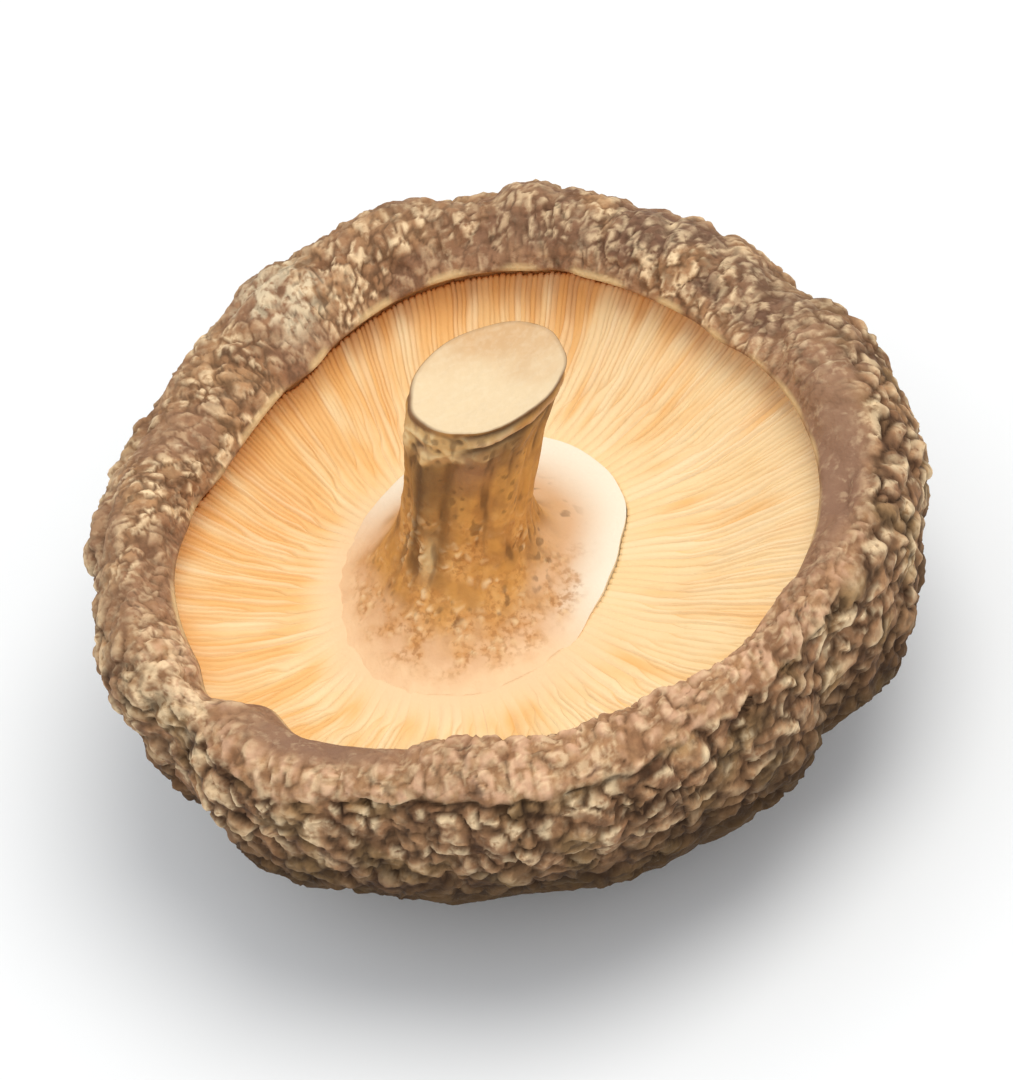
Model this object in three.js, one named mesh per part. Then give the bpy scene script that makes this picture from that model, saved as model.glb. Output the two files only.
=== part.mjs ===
// A dried shiitake mushroom, cap and stem grown as one piece, lying on its cap with the gills up.
// Millimetres, +Z up. The origin is the middle of the small flat spot under the cap that it rests on.
// The body is one closed skin, lofted ring by ring: rest spot, dome, in-rolled rim, lip, gills,
// collar, stem, cut end.
import * as THREE from "three";

// Cap
const restRadius = 6.5; // flat spot that the cap rests on
const girthHeight = 19.3; // widest girth of the cap above the rest spot
const domeFullness = 2.2; // 2 is an ellipse, more is squarer
const rollHeight = 4.2; // how far the in-rolled rim rises above the girth
const lipAngle = THREE.MathUtils.degToRad(148); // where the roll ends, turned from outward
const lipThickness = 0.9;
const lipUndercut = 1.1; // the gills run this far outward under the lip
const grooveDrop = 2.0; // and meet the cap this far below it
// Every 30 degrees round the cap, from +X towards +Y
const girthRadii = [27.4, 26.4, 26.4, 28.2, 28.6, 27.2, 28.2, 28.8, 27.8, 27.4, 27.0, 27.6];
const lipRadii = [20.4, 19.2, 18.8, 20.6, 19.2, 19.6, 22.4, 23.4, 22.4, 21.8, 22.6, 22.0];
const girthLifts = [-0.4, -0.6, 1.0, 0.0, 0.0, -0.2, 0.6, -0.4, 0.2, 0.0, 0.2, 0.3];
// Puckers across the rim: angle and half width in degrees, dent outside, how far the lip draws in
const puckers = [
  { at: 205, halfWidth: 4.5, dent: 1.0, drawIn: -0.9 },
  { at: 213, halfWidth: 5.5, dent: 0.0, drawIn: 1.3 },
  { at: 28, halfWidth: 4.0, dent: 0.5, drawIn: 0.3 },
  { at: 66, halfWidth: 3.5, dent: 0.4, drawIn: -0.3 },
  { at: 121, halfWidth: 4.0, dent: 0.5, drawIn: 0.4 },
  { at: 160, halfWidth: 4.0, dent: 0.4, drawIn: -0.3 },
  { at: 251, halfWidth: 5.0, dent: 0.4, drawIn: 0.2 },
  { at: 312, halfWidth: 4.0, dent: 0.6, drawIn: 0.3 },
];

// Wrinkled skin
const folds = { longest: 17, shortest: 8, depth: 0.45, seed: 1.3 };
const cobbles = { longest: 9, shortest: 5.5, depth: 0.75, seed: 5.1 };
const skinColumns = 132;

// Gills
const gillCount = 132; // every second one is short
const gillDepth = 1.25; // crest to floor
const gillDepthAtCollar = 0.5;
const shortGillStart = 0.46; // share of the way from collar to lip
const collarDrop = 4.3; // the gill crests at the collar lie this far below the girth
const gillSag = 2.1; // how late the gill face rises towards the lip
const gillSwell = { longest: 17, shortest: 8, depth: 0.35, seed: 3.7 };

// Collar and stem
const collarCentre = new THREE.Vector2(-2.5, 0.7);
const collarRadius = 10.2;
const collarStretch = { by: 1.1, along: THREE.MathUtils.degToRad(58) };
const collarEdge = 0.35; // how far the collar stands above the gill crests
const stemFoot = new THREE.Vector3(-3.4, 0.2, girthHeight - 4.2);
const stemTip = new THREE.Vector3(1.2, 0.6, girthHeight + 12.8);
const neckRadius = 3.95;
const tipRadius = 5.05;
const flareHeight = 0.105; // share of the stem over which the collar sinks into it
const cutNormal = new THREE.Vector3(-0.16, 0.15, 0.97).normalize();
const cutDish = 0.5;
const stemColumns = 44;

const turn = 2 * Math.PI;
const goldenAngle = Math.PI * (3 - Math.sqrt(5));

// 0 below the low value, 1 above the high one, and an S between them.
function smooth(low, high, x) {
  return THREE.MathUtils.smoothstep(x, low, high);
}

// Catmull-Rom value, at an angle, of stations equally spaced round a full turn.
function around(stations, angle) {
  const n = stations.length;
  const x = (((angle / turn) % 1) + 1) * n;
  const i = Math.floor(x);
  const f = x - i;
  const [a, b, c, d] = [-1, 0, 1, 2].map((k) => stations[(i + k) % n]);
  return b + 0.5 * f * (c - a + f * (2 * a - 5 * b + 4 * c - d + f * (3 * (b - c) + d - a)));
}

// Seven sine waves in space, added: their directions are spread over a sphere by the golden
// angle and their lengths run from the longest to the shortest. The sum stays near -1 to 1.
function waves(place, { longest, shortest, seed }) {
  const count = 7;
  let sum = 0;
  for (let i = 0; i < count; i++) {
    const z = 1 - (2 * i + 1) / count;
    const side = Math.sqrt(1 - z * z);
    const heading = goldenAngle * (i + seed);
    const length = longest * (shortest / longest) ** (i / (count - 1));
    const along = place.x * side * Math.cos(heading) + place.y * side * Math.sin(heading) + place.z * z;
    sum += Math.sin((turn * along) / length + 2.4 * i + seed);
  }
  return sum / Math.sqrt(count);
}

// A hump of height 1 at an angle in degrees, half as high at the half width and gone at twice that.
function hump(angle, { at, halfWidth }) {
  const away = Math.abs(((THREE.MathUtils.radToDeg(angle) - at + 540) % 360) - 180);
  return away < 2 * halfWidth ? Math.cos(((away / halfWidth) * Math.PI) / 4) ** 2 : 0;
}

// The rim at an angle: radius of the girth, radius of the lip, and height of the girth.
function rimAt(angle) {
  const rim = {
    girth: around(girthRadii, angle),
    lip: around(lipRadii, angle),
    height: girthHeight + around(girthLifts, angle),
  };
  for (const pucker of puckers) {
    rim.girth -= pucker.dent * hump(angle, pucker);
    rim.lip -= pucker.drawIn * hump(angle, pucker);
  }
  return rim;
}

// Radius and height on the cap's bare profile, before it wrinkles. Up to 1 it climbs the dome,
// a superellipse. From 1 to 2 it goes over the elliptical roll to the lip.
function capProfile(angle, t) {
  const { girth, lip, height } = rimAt(angle);
  if (t <= 1) {
    const climb = (t * Math.PI) / 2;
    const power = 2 / domeFullness;
    const drop = (height + 0.5) * Math.cos(climb) ** power;
    return new THREE.Vector2(girth * Math.sin(climb) ** power, height - drop);
  }
  const rollWidth = (girth - lip) / (1 - Math.cos(lipAngle));
  const round = (t - 1) * lipAngle;
  return new THREE.Vector2(girth - rollWidth * (1 - Math.cos(round)), height + rollHeight * Math.sin(round));
}

function atAngle(angle, radius, height) {
  return new THREE.Vector3(radius * Math.cos(angle), radius * Math.sin(angle), height);
}

// The wrinkled skin: broad folds, and cobbles that meet in creases, raised along the profile's
// normal and fading to nothing at the lip and towards the rest spot.
function skinPoint(angle, t) {
  const step = 0.01;
  const here = capProfile(angle, t);
  const ahead = capProfile(angle, Math.min(t + step, 2));
  const behind = capProfile(angle, Math.max(t - step, step));
  const normal = new THREE.Vector2(ahead.y - behind.y, behind.x - ahead.x).normalize();
  const place = atAngle(angle, here.x, here.y);
  const cobble = Math.min(1, 1.6 * Math.abs(waves(place, cobbles))) ** 0.7;
  const calm = (1 - smooth(1.8, 2, t)) * smooth(0.15, 0.4, t);
  const relief = calm * (folds.depth * waves(place, folds) + cobbles.depth * (cobble - 0.6));
  return atAngle(angle, here.x + relief * normal.x, Math.max(0, here.y + relief * normal.y));
}

function ringOf(count, pointAt) {
  return Array.from({ length: count }, (_, i) => pointAt((i / count) * turn, i));
}

// Where the gills end under the lip.
function grooveAt(angle) {
  const { x, y } = capProfile(angle, 2);
  return atAngle(angle, x + lipUndercut, y - grooveDrop);
}

// The outer edge of the collar, at the height of the gill crests: an oval, a little uneven.
function collarAt(angle) {
  const stretch = collarStretch.by * Math.cos(2 * (angle - collarStretch.along));
  const reach = collarRadius + stretch + 0.2 * Math.sin(3 * angle + 1);
  const edge = atAngle(angle, reach, girthHeight - collarDrop);
  return edge.add(new THREE.Vector3(collarCentre.x, collarCentre.y, 0));
}

// A point of the gill face, a share of the way from the collar to the groove under the lip.
// Its height goes from 0 on the floor between two gills to 1 on a crest.
function gillPoint(angle, share, height) {
  const inner = collarAt(angle);
  const outer = grooveAt(angle);
  const place = inner.clone().lerp(outer, share);
  const depth = THREE.MathUtils.lerp(gillDepthAtCollar, gillDepth, smooth(0, 0.2, share));
  place.z = THREE.MathUtils.lerp(inner.z, outer.z, share ** gillSag);
  place.z += gillSwell.depth * waves(place, gillSwell) * Math.sin(Math.PI * share) - (1 - height) * depth;
  return place;
}

// A ring of the outer gills, long and short by turns. Crests and floors alternate.
function outerGillRing(share) {
  const grown = smooth(shortGillStart, shortGillStart + 0.22, share);
  return ringOf(2 * gillCount, (angle, i) => {
    const isCrest = i % 2 === 0;
    const isShort = i % 4 === 2;
    const crest = (isShort ? 0.9 * grown : 1) + 0.1 * Math.sin(2.4 * i + 9 * share) * (isShort ? grown : 1);
    return gillPoint(angle, share, isCrest ? crest : 0);
  });
}

// A ring of the inner gills: only the long ones reach here.
function innerGillRing(share) {
  return ringOf(gillCount, (angle, i) => {
    const isCrest = i % 2 === 0;
    return gillPoint(angle, share, isCrest ? 1 + 0.1 * Math.sin(4.8 * i + 9 * share) : 0);
  });
}

// The stem's centre line rises from its foot and leans towards its tip.
const stemLine = new THREE.CubicBezierCurve3(
  stemFoot,
  stemFoot.clone().add(new THREE.Vector3(0.6, 0.2, 6)),
  stemTip.clone().add(new THREE.Vector3(-2.2, 0, -6)),
  stemTip,
);

// The stem without its flare, a little oval and ribbed, widening to the cut. Its sides run on or
// stop short near the cut, so that they end in the cut's slanting plane.
function stemSide(angle, t) {
  const centre = stemLine.getPoint(t);
  const axis = stemLine.getTangent(t);
  const across = new THREE.Vector3(1, 0, 0).addScaledVector(axis, -axis.x).normalize();
  const beside = axis.clone().cross(across);
  const oval = 1 + 0.04 * Math.cos(2 * angle + 0.6);
  const ribs = 0.15 * Math.sin(5 * angle + 4 * t) + 0.1 * Math.sin(9 * angle - 3 * t + 1);
  const radius = THREE.MathUtils.lerp(neckRadius, tipRadius, smooth(0.4, 1, t)) * oval + ribs;
  const place = centre.addScaledVector(across, radius * Math.cos(angle));
  place.addScaledVector(beside, radius * Math.sin(angle));
  const shortOfCut = cutNormal.dot(stemTip.clone().sub(place)) / cutNormal.dot(axis);
  const slant = stemTip.distanceTo(stemFoot) * (1 - t);
  return place.addScaledVector(axis, (shortOfCut - slant) * smooth(0.35, 1, t));
}

// The stem from the collar's edge, where the flare carries it all the way out, to the cut.
function stemPoint(angle, t) {
  const edge = collarAt(angle).add(new THREE.Vector3(0, 0, collarEdge));
  const flare = edge.sub(stemSide(angle, 0));
  return stemSide(angle, t).addScaledVector(flare, Math.exp(-t / flareHeight));
}

// The cut end, dished towards its middle.
function cutPoint(angle, share) {
  const place = stemTip.clone().lerp(stemPoint(angle, 1), share);
  return place.addScaledVector(cutNormal, -cutDish * (1 - share ** 2));
}

// Faces between two rings that run the same way round, whatever their counts: each step
// advances on the ring that lags behind.
function zip(low, high, faces) {
  let i = 0;
  let j = 0;
  while (i < low.length || j < high.length) {
    const a = low.start + (i % low.length);
    const b = high.start + (j % high.length);
    const lowLags = (i + 0.5) / low.length <= (j + 0.5) / high.length;
    if (j === high.length || (lowLags && i < low.length)) {
      i++;
      faces.push(a, low.start + (i % low.length), b);
    } else {
      j++;
      faces.push(a, high.start + (j % high.length), b);
    }
  }
}

// Faces between a ring and the middle point that closes it.
function fan(ring, middle, isLast, faces) {
  for (let i = 0; i < ring.length; i++) {
    const a = ring.start + i;
    const b = ring.start + ((i + 1) % ring.length);
    faces.push(isLast ? a : b, isLast ? b : a, middle);
  }
}

// One closed geometry through a list of rings, with a middle point at each end.
function loft(firstMiddle, rings, lastMiddle) {
  const points = [firstMiddle];
  const placed = rings.map((ring) => {
    const start = points.length;
    points.push(...ring);
    return { start, length: ring.length };
  });
  points.push(lastMiddle);
  const faces = [];
  fan(placed[0], 0, false, faces);
  placed.slice(1).forEach((ring, i) => zip(placed[i], ring, faces));
  fan(placed[placed.length - 1], points.length - 1, true, faces);
  const geometry = new THREE.BufferGeometry().setFromPoints(points);
  geometry.setIndex(faces);
  geometry.computeVertexNormals();
  return geometry;
}

// Equal steps between two values, both ends included.
function steps(from, to, count) {
  return Array.from({ length: count }, (_, i) => THREE.MathUtils.lerp(from, to, i / (count - 1)));
}

function capRings() {
  const restRing = (share, count) => ringOf(count, (angle) => atAngle(angle, restRadius * share, 0));
  const skinRings = (from, to, rows, columns) =>
    steps(from, to, rows).map((t) => ringOf(columns, (angle) => skinPoint(angle, t)));
  const underLip = ringOf(skinColumns, (angle) => {
    const { x, y } = capProfile(angle, 2);
    return atAngle(angle, x + 0.5, y - lipThickness);
  });
  return [
    restRing(0.35, 11),
    restRing(1, 33),
    ...skinRings(0.25, 0.46, 6, skinColumns / 2),
    ...skinRings(0.52, 2, 21, skinColumns),
    underLip,
  ];
}

function gillRings() {
  return [
    ...steps(1, shortGillStart, 5).map(outerGillRing),
    ...steps(shortGillStart - 0.08, 0, 4).map(innerGillRing),
  ];
}

// The rows of the stem crowd towards the flare.
function stemRings() {
  const sides = steps(0, 1, 15).map((t) => ringOf(stemColumns, (angle) => stemPoint(angle, t ** 1.6)));
  return [...sides, ringOf(stemColumns / 2, (angle) => cutPoint(angle, 0.55))];
}

const flesh = new THREE.MeshStandardMaterial({ color: 0x8a6a4c, roughness: 0.85, metalness: 0 });
const restMiddle = new THREE.Vector3(0, 0, 0);
const cutMiddle = stemTip.clone().addScaledVector(cutNormal, -cutDish);
const body = loft(restMiddle, [...capRings(), ...gillRings(), ...stemRings()], cutMiddle);

const mushroom = new THREE.Mesh(body, flesh);
mushroom.name = "shiitake_mushroom";

const part = new THREE.Group();
part.add(mushroom);

export default part;
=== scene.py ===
# A dried shiitake mushroom that lies on its cap with its gills up.
# Lengths are millimetres until a mesh is made. Angles run from +X towards +Y.
import math

import bpy
import numpy as np
from mathutils import Matrix, Vector


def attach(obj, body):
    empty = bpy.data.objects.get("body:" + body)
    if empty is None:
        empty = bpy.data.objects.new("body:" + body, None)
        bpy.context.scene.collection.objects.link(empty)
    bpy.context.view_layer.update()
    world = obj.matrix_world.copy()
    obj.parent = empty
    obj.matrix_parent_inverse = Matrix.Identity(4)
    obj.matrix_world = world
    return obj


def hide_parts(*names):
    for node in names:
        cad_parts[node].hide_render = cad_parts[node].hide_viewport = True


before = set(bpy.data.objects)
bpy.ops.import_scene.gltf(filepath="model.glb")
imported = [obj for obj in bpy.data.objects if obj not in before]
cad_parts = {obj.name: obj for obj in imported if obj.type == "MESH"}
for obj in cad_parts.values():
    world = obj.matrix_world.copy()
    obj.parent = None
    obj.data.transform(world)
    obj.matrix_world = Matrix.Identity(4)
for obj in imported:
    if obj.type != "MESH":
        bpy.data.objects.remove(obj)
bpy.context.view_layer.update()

millimetre = 0.001  # in metres, as meshes and lamps are
turn = 2 * math.pi
goldenAngle = math.pi * (3 - math.sqrt(5))


def smooth(low, high, x):
    # 0 below low, 1 above high, and 3x² - 2x³ between them
    x = np.clip((x - low) / (high - low), 0, 1)
    return x * x * (3 - 2 * x)


def lerp(a, b, share):
    # a plus a share of the way to b
    return a + (b - a) * share


def bell(x, middle, width):
    # e to the power of minus the square of the distance from the middle in widths
    return np.exp(-((x - middle) / width) ** 2)


def around(stations, angle):
    # Catmull-Rom cubic through values spaced evenly round a full turn
    v = np.asarray(stations, float)
    x = (angle / turn) % 1 * len(v)
    i = np.floor(x).astype(int)
    f = x - i
    a, b, c, d = (v[(i + k) % len(v)] for k in (-1, 0, 1, 2))
    return b + 0.5 * f * (c - a + f * (2 * a - 5 * b + 4 * c - d + f * (3 * (b - c) + d - a)))


def facing(angle, at):
    # half of one plus the cosine of the angle from a bearing in degrees: 1 on the bearing, 0 opposite it
    return 0.5 + 0.5 * np.cos(angle - math.radians(at))


def hump(angle, at, halfWidth):
    # cosine squared, 1 on a bearing in degrees, a half at the half width and 0 at twice that
    away = np.abs((np.degrees(angle) - at + 540) % 360 - 180)
    return np.where(away < 2 * halfWidth, np.cos(away / halfWidth * math.pi / 4) ** 2, 0)


def waves(place, longest, shortest, seed):
    # seven sine waves in space, added: golden-angle directions, lengths falling in equal ratios
    total = 0
    for i in range(7):
        z = 1 - (2 * i + 1) / 7
        side = math.sqrt(1 - z * z)
        heading = goldenAngle * (i + seed)
        length = longest * (shortest / longest) ** (i / 6)
        way = np.array([side * math.cos(heading), side * math.sin(heading), z])
        total = total + np.sin(turn * (place @ way) / length + 2.4 * i + seed)
    return total / math.sqrt(7)


def hashed(cell, seed):
    # a number from 0 to 1 for each whole-number cell: its coordinates times big numbers, mixed by shifts
    n = (cell[..., 0] * 73856093) ^ (cell[..., 1] * 19349663) ^ (cell[..., 2] * 83492791)
    n = n ^ (seed * 668265263)
    n = ((n & 0xFFFFFFFF) ^ ((n & 0xFFFFFFFF) >> 15)) * 739982445 & 0xFFFFFFFF
    n = (n ^ (n >> 12)) * 695872825 & 0xFFFFFFFF
    return ((n ^ (n >> 15)) & 0xFFFFFF) / 0xFFFFFF


def noise(place, size, seed):
    # gradient noise, about -1 to 1: a random slope at each corner of a cube, blended by
    # 6x⁵ - 15x⁴ + 10x³
    q = place / size
    base = np.floor(q).astype(np.int64)
    f = q - base
    w = f * f * f * (f * (f * 6 - 15) + 10)
    total = 0
    for corner in np.ndindex(2, 2, 2):
        corner = np.array(corner)
        slope = np.stack([hashed(base + corner, seed + k) for k in (0, 1, 2)], -1) * 2 - 1
        weight = np.prod(np.where(corner == 1, w, 1 - w), axis=-1)
        total = total + weight * (slope * (f - corner)).sum(-1)
    return total * 1.7


def cells(place, size, seed):
    # one random point in each cube. Given back are the margin by which the second nearest point is farther
    # than the nearest, the nearest's own number, and how far the place lies from it along a way of its own
    q = place / size
    base = np.floor(q).astype(np.int64)
    nearest = np.full(q.shape[:-1], 9.0)
    second = nearest.copy()
    tone = np.zeros_like(nearest)
    lean = np.zeros_like(nearest)
    for step in np.ndindex(3, 3, 3):
        cell = base + np.array(step) - 1
        point = np.stack([hashed(cell, seed + k) for k in (0, 1, 2)], -1)
        offset = q - cell - point
        away = np.linalg.norm(offset, axis=-1)
        closer = away < nearest
        second = np.where(closer, nearest, np.minimum(second, away))
        tone = np.where(closer, hashed(cell, seed + 7), tone)
        lean = np.where(closer, (offset * (point[..., ::-1] * 2 - 1)).sum(-1), lean)
        nearest = np.minimum(nearest, away)
    return second - nearest, tone, lean


def warped(place, size, reach, seed):
    # each point moved up to the reach by three noises, one along each axis
    moves = [noise(place, size, seed + 11 * k) for k in (0, 1, 2)]
    return place + reach * np.stack(moves, -1)


def atAngle(angle, radius, height):
    # cylinder coordinates to x, y, z
    angle, radius, height = np.broadcast_arrays(angle, radius, height)
    return np.stack([radius * np.cos(angle), radius * np.sin(angle), height], -1)


def outward(form, angle, t):
    # unit cross product of the slope round the ring and the slope along the profile
    d = 0.004
    n = np.cross(form(angle + d, t) - form(angle - d, t), form(angle, t + d) - form(angle, t - d))
    return n / np.maximum(np.linalg.norm(n, axis=-1, keepdims=True), 1e-12)


def ringAngles(count):
    # equal steps round one turn
    return np.arange(count) / count * turn


def facesBetween(low, lowCount, high, highCount):
    # quads between equal rings, three triangles a step where one ring has twice the other's points,
    # and a fan where one ring is a single point
    if lowCount == 1:
        i = np.arange(highCount)
        return np.empty((0, 4), int), np.stack([high + (i + 1) % highCount, high + i, low + 0 * i], -1)
    if highCount == 1:
        i = np.arange(lowCount)
        return np.empty((0, 4), int), np.stack([low + i, low + (i + 1) % lowCount, high + 0 * i], -1)
    i = np.arange(min(lowCount, highCount))
    j = (i + 1) % len(i)
    if lowCount == highCount:
        return np.stack([low + i, low + j, high + j, high + i], -1), np.empty((0, 3), int)
    a, b, c = 2 * i, 2 * i + 1, (2 * i + 2) % (2 * len(i))
    if highCount == 2 * lowCount:
        tris = [(low + i, low + j, high + b), (low + i, high + b, high + a), (low + j, high + c, high + b)]
    else:
        tris = [(low + a, low + b, high + i), (low + b, high + j, high + i), (low + b, low + c, high + j)]
    return np.empty((0, 4), int), np.concatenate([np.stack(t, -1) for t in tris])


def meshThrough(name, rings, loops=False):
    # one closed body: the rings' points in order, faces between neighbours, and named numbers on the points
    points = np.concatenate(rings.points)
    counts = [len(ring) for ring in rings.points]
    starts = np.cumsum([0] + counts)
    pairs = [(k, k + 1) for k in range(len(counts) - 1)] + ([(len(counts) - 1, 0)] if loops else [])
    made = [facesBetween(starts[a], counts[a], starts[b], counts[b]) for a, b in pairs]
    quads = np.concatenate([q for q, _ in made])
    tris = np.concatenate([t for _, t in made])
    corners = np.concatenate([quads.ravel(), tris.ravel()])
    sizes = np.concatenate([np.full(len(quads), 4), np.full(len(tris), 3)])
    mesh = bpy.data.meshes.new(name)
    mesh.vertices.add(len(points))
    mesh.vertices.foreach_set("co", (points * millimetre).astype(np.float32).ravel())
    mesh.loops.add(len(corners))
    mesh.loops.foreach_set("vertex_index", corners.astype(np.int32))
    mesh.polygons.add(len(sizes))
    mesh.polygons.foreach_set("loop_start", (np.cumsum(sizes) - sizes).astype(np.int32))
    for key, numbers in rings.values.items():
        layer = mesh.attributes.new(key, "FLOAT", "POINT")
        layer.data.foreach_set("value", np.concatenate(numbers).astype(np.float32))
    mesh.update(calc_edges=True)
    mesh.validate()
    mesh.polygons.foreach_set("use_smooth", np.ones(len(mesh.polygons), bool))
    piece = bpy.data.objects.new(name, mesh)
    bpy.context.collection.objects.link(piece)
    print(name, "has", len(quads) * 2 + len(tris), "triangles")
    return piece


class Rings:
    # a growing list of rings with their named numbers; a number not given is 0
    def __init__(self, *keys):
        self.points = []
        self.values = {key: [] for key in keys}

    def add(self, points, **given):
        # one ring, with each number given once for the ring or once for each point
        self.points.append(points)
        for key, rows in self.values.items():
            rows.append(np.broadcast_to(given.get(key, 0.0), points.shape[:1]).astype(float))

    def addRows(self, grid, **given):
        # each row of a grid as a ring, with its own row of each number
        for k, row in enumerate(grid):
            self.add(row, **{key: value[k] for key, value in given.items()})


cap = {
    "girthHeight": 19.3,  # widest girth above the surface it lies on
    "domeFullness": 2.2,  # 2 is an ellipse, more is squarer
    "rollHeight": 4.2,
    "lipAngle": math.radians(148),
    "lipThickness": 0.42,
    "lipUndercut": 1.1,
    "grooveDrop": 2.0,
    "girthRadii": [27.4, 26.4, 26.4, 28.2, 28.6, 27.2, 28.2, 28.8, 27.8, 27.4, 27.0, 27.6],
    "lipRadii": [20.4, 19.2, 18.8, 20.6, 19.2, 19.6, 22.4, 23.4, 22.4, 21.8, 22.6, 22.0],
    "girthLifts": [-0.4, -0.6, 1.0, 0.0, 0.0, -0.2, 0.6, -0.4, 0.2, 0.0, 0.2, 0.3],
    # bearing, half width, dent outside, how far the lip draws in
    "puckers": [(205, 4.5, 1.0, -0.9), (213, 5.5, 0.0, 1.3), (28, 4, 0.5, 0.3), (66, 3.5, 0.4, -0.3),
                (121, 4, 0.5, 0.4), (160, 4, 0.4, -0.3), (251, 5, 0.4, 0.2), (312, 4, 0.6, 0.3)],
    "foldDepth": 0.45,
    "cobbleDepth": 0.45,
    "pebbleSize": 2.1,
    "pebbleHeight": 0.34,
    "pebbleTilt": 0.1,
    "crackDepth": 0.26,
    "heaveSize": 2.6,
    "heaveHeight": 0.2,
    "grainSize": 0.95,
    "grainHeight": 0.1,
    "curlHeight": 0.08,
    "crumpleSize": 0.95,
    "crumpleDepth": 0.1,
    "flakeSize": 1.1,
    "flakeHeight": 0.13,
    "creaseSize": 1.15,
    "creaseDepth": 0.26,
    "ledgeAt": 1.2,  # where along the profile a cracked ledge runs in front: 1 is the girth, 2 the lip
    "ledgeWidth": 0.02,
    "ledgeDepth": 0.3,
    "gashDepth": 0.1,
    "plateSize": 5.0,
    "plateCrackDepth": 0.3,
    "sunk": 0.2,  # keeps the tops of the detail near the form
    "patternRadius": 24.0,  # of the drum that flakes and creases are laid out on
    "coarseBearing": 285,  # middle of the coarsest skin
    "creasedBearing": 266,  # middle of the creased band above the ledge
    "smoothLips": [(228, 13), (342, 22)],  # bearing and half width of each worn part of the lip
    "rubbedFold": (203, 7),
    "bleachedPatch": (116, 6),
    "duskyRim": (38, 42),
    "innerReach": 7.0,  # of the plain rings round the point it lies on
    "hiddenTop": 13.0,  # height of the closing rings inside, under the gills
    "rimColumns": 800,
    "domeRows": (0.155, 0.68, 36),  # from, to and how many, along the profile
    "sideRows": (0.69, 1, 44),
    "rimRows": (1.018, 2, 56),
}


def rimAt(angle):
    # radius of the girth, radius of the lip and height of the girth, with the puckers taken off
    girth = around(cap["girthRadii"], angle)
    lip = around(cap["lipRadii"], angle)
    height = cap["girthHeight"] + around(cap["girthLifts"], angle)
    for at, halfWidth, dent, drawIn in cap["puckers"]:
        share = hump(angle, at, halfWidth)
        girth = girth - dent * share
        lip = lip - drawIn * share
    return girth, lip, height


def capProfile(angle, t):
    # radius and height: a superellipse up to t = 1, then an ellipse's arc over the roll to the lip at t = 2
    girth, lip, height = rimAt(angle)
    power = 2 / cap["domeFullness"]
    climb = np.clip(t, 0, 1) * math.pi / 2
    domeRadius = girth * np.sin(climb) ** power
    domeHeight = height - (height + 0.5) * np.maximum(np.cos(climb), 0) ** power
    width = (girth - lip) / (1 - math.cos(cap["lipAngle"]))
    bend = (t - 1) * cap["lipAngle"]
    radius = np.where(t <= 1, domeRadius, girth - width * (1 - np.cos(bend)))
    return radius, np.where(t <= 1, domeHeight, height + cap["rollHeight"] * np.sin(bend))


def skinForm(angle, t):
    # the profile pushed out along its own normal by broad folds and by cobbles that meet in creases
    d = 0.01
    radius, height = capProfile(angle, t)
    aheadRadius, aheadHeight = capProfile(angle, np.minimum(t + d, 2))
    behindRadius, behindHeight = capProfile(angle, np.maximum(t - d, d))
    across, along = aheadHeight - behindHeight, behindRadius - aheadRadius
    size = np.hypot(across, along)
    place = atAngle(angle, radius, height)
    cobble = np.minimum(1, 1.6 * np.abs(waves(place, 9, 5.5, 5.1))) ** 0.7
    calm = (1 - smooth(1.8, 2, t)) * smooth(0.15, 0.4, t)
    relief = calm * (cap["foldDepth"] * waves(place, 17, 8, 1.3) + cap["cobbleDepth"] * (cobble - 0.6))
    return atAngle(angle, radius + relief * across / size, height + relief * along / size)


def wornAt(angle):
    # where the lip's thin edge is rubbed pale: one slow noise round the rim
    return smooth(-0.2, 0.25, noise(atAngle(angle, 22.0, 0.0), 3.4, 95))


def pebbles(place, coarse):
    # a warped cell pattern: domed cells of their own heights, tilted a little, over slow heaves and
    # grains, with cracks where two cells meet. Pale are the rubbed tops and the curled edges on the
    # raised sides, and dark the cracks, with painted shade on the slopes beside them
    c = cap
    loose = warped(warped(place, 2.4, 0.9, 11), 0.85, 0.27, 15)
    gap, tone, lean = cells(loose, c["pebbleSize"], 21)
    grainGap = cells(warped(place, 1.2, 0.35, 27), c["grainSize"], 29)[0]
    split = smooth(0.0, 0.3, noise(place, 3.2, 25))
    crack = (1 - smooth(0.0, 0.16, gap)) * (0.3 + 0.7 * split)
    curl = smooth(0.08, 0.2, gap) * (1 - smooth(0.35, 0.65, gap)) * smooth(-0.1, 0.12, lean)
    curl = curl * smooth(-0.35, 0.05, noise(place, 1.3, 31))
    height = c["pebbleHeight"] * (0.5 + tone) * smooth(-0.1, 0.75, gap) + c["pebbleTilt"] * lean
    height = height + c["heaveHeight"] * noise(warped(place, 3.0, 0.8, 17), c["heaveSize"], 19)
    height = height + c["grainHeight"] * smooth(0, 0.6, grainGap)
    height = height - c["crackDepth"] * crack + c["curlHeight"] * curl
    top = smooth(0.2, 0.6, gap) * smooth(0.05, 0.55, tone)
    # painted shade: darker on the slopes down into the cracks and in the gaps between grains
    slope = 0.7 * (1 - smooth(0.0, 0.38, gap)) ** 1.3 + 0.25 * (1 - smooth(0.0, 0.3, grainGap))
    return height, tone, curl, top, np.maximum(crack, slope * lerp(0.65, 1, coarse))


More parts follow.
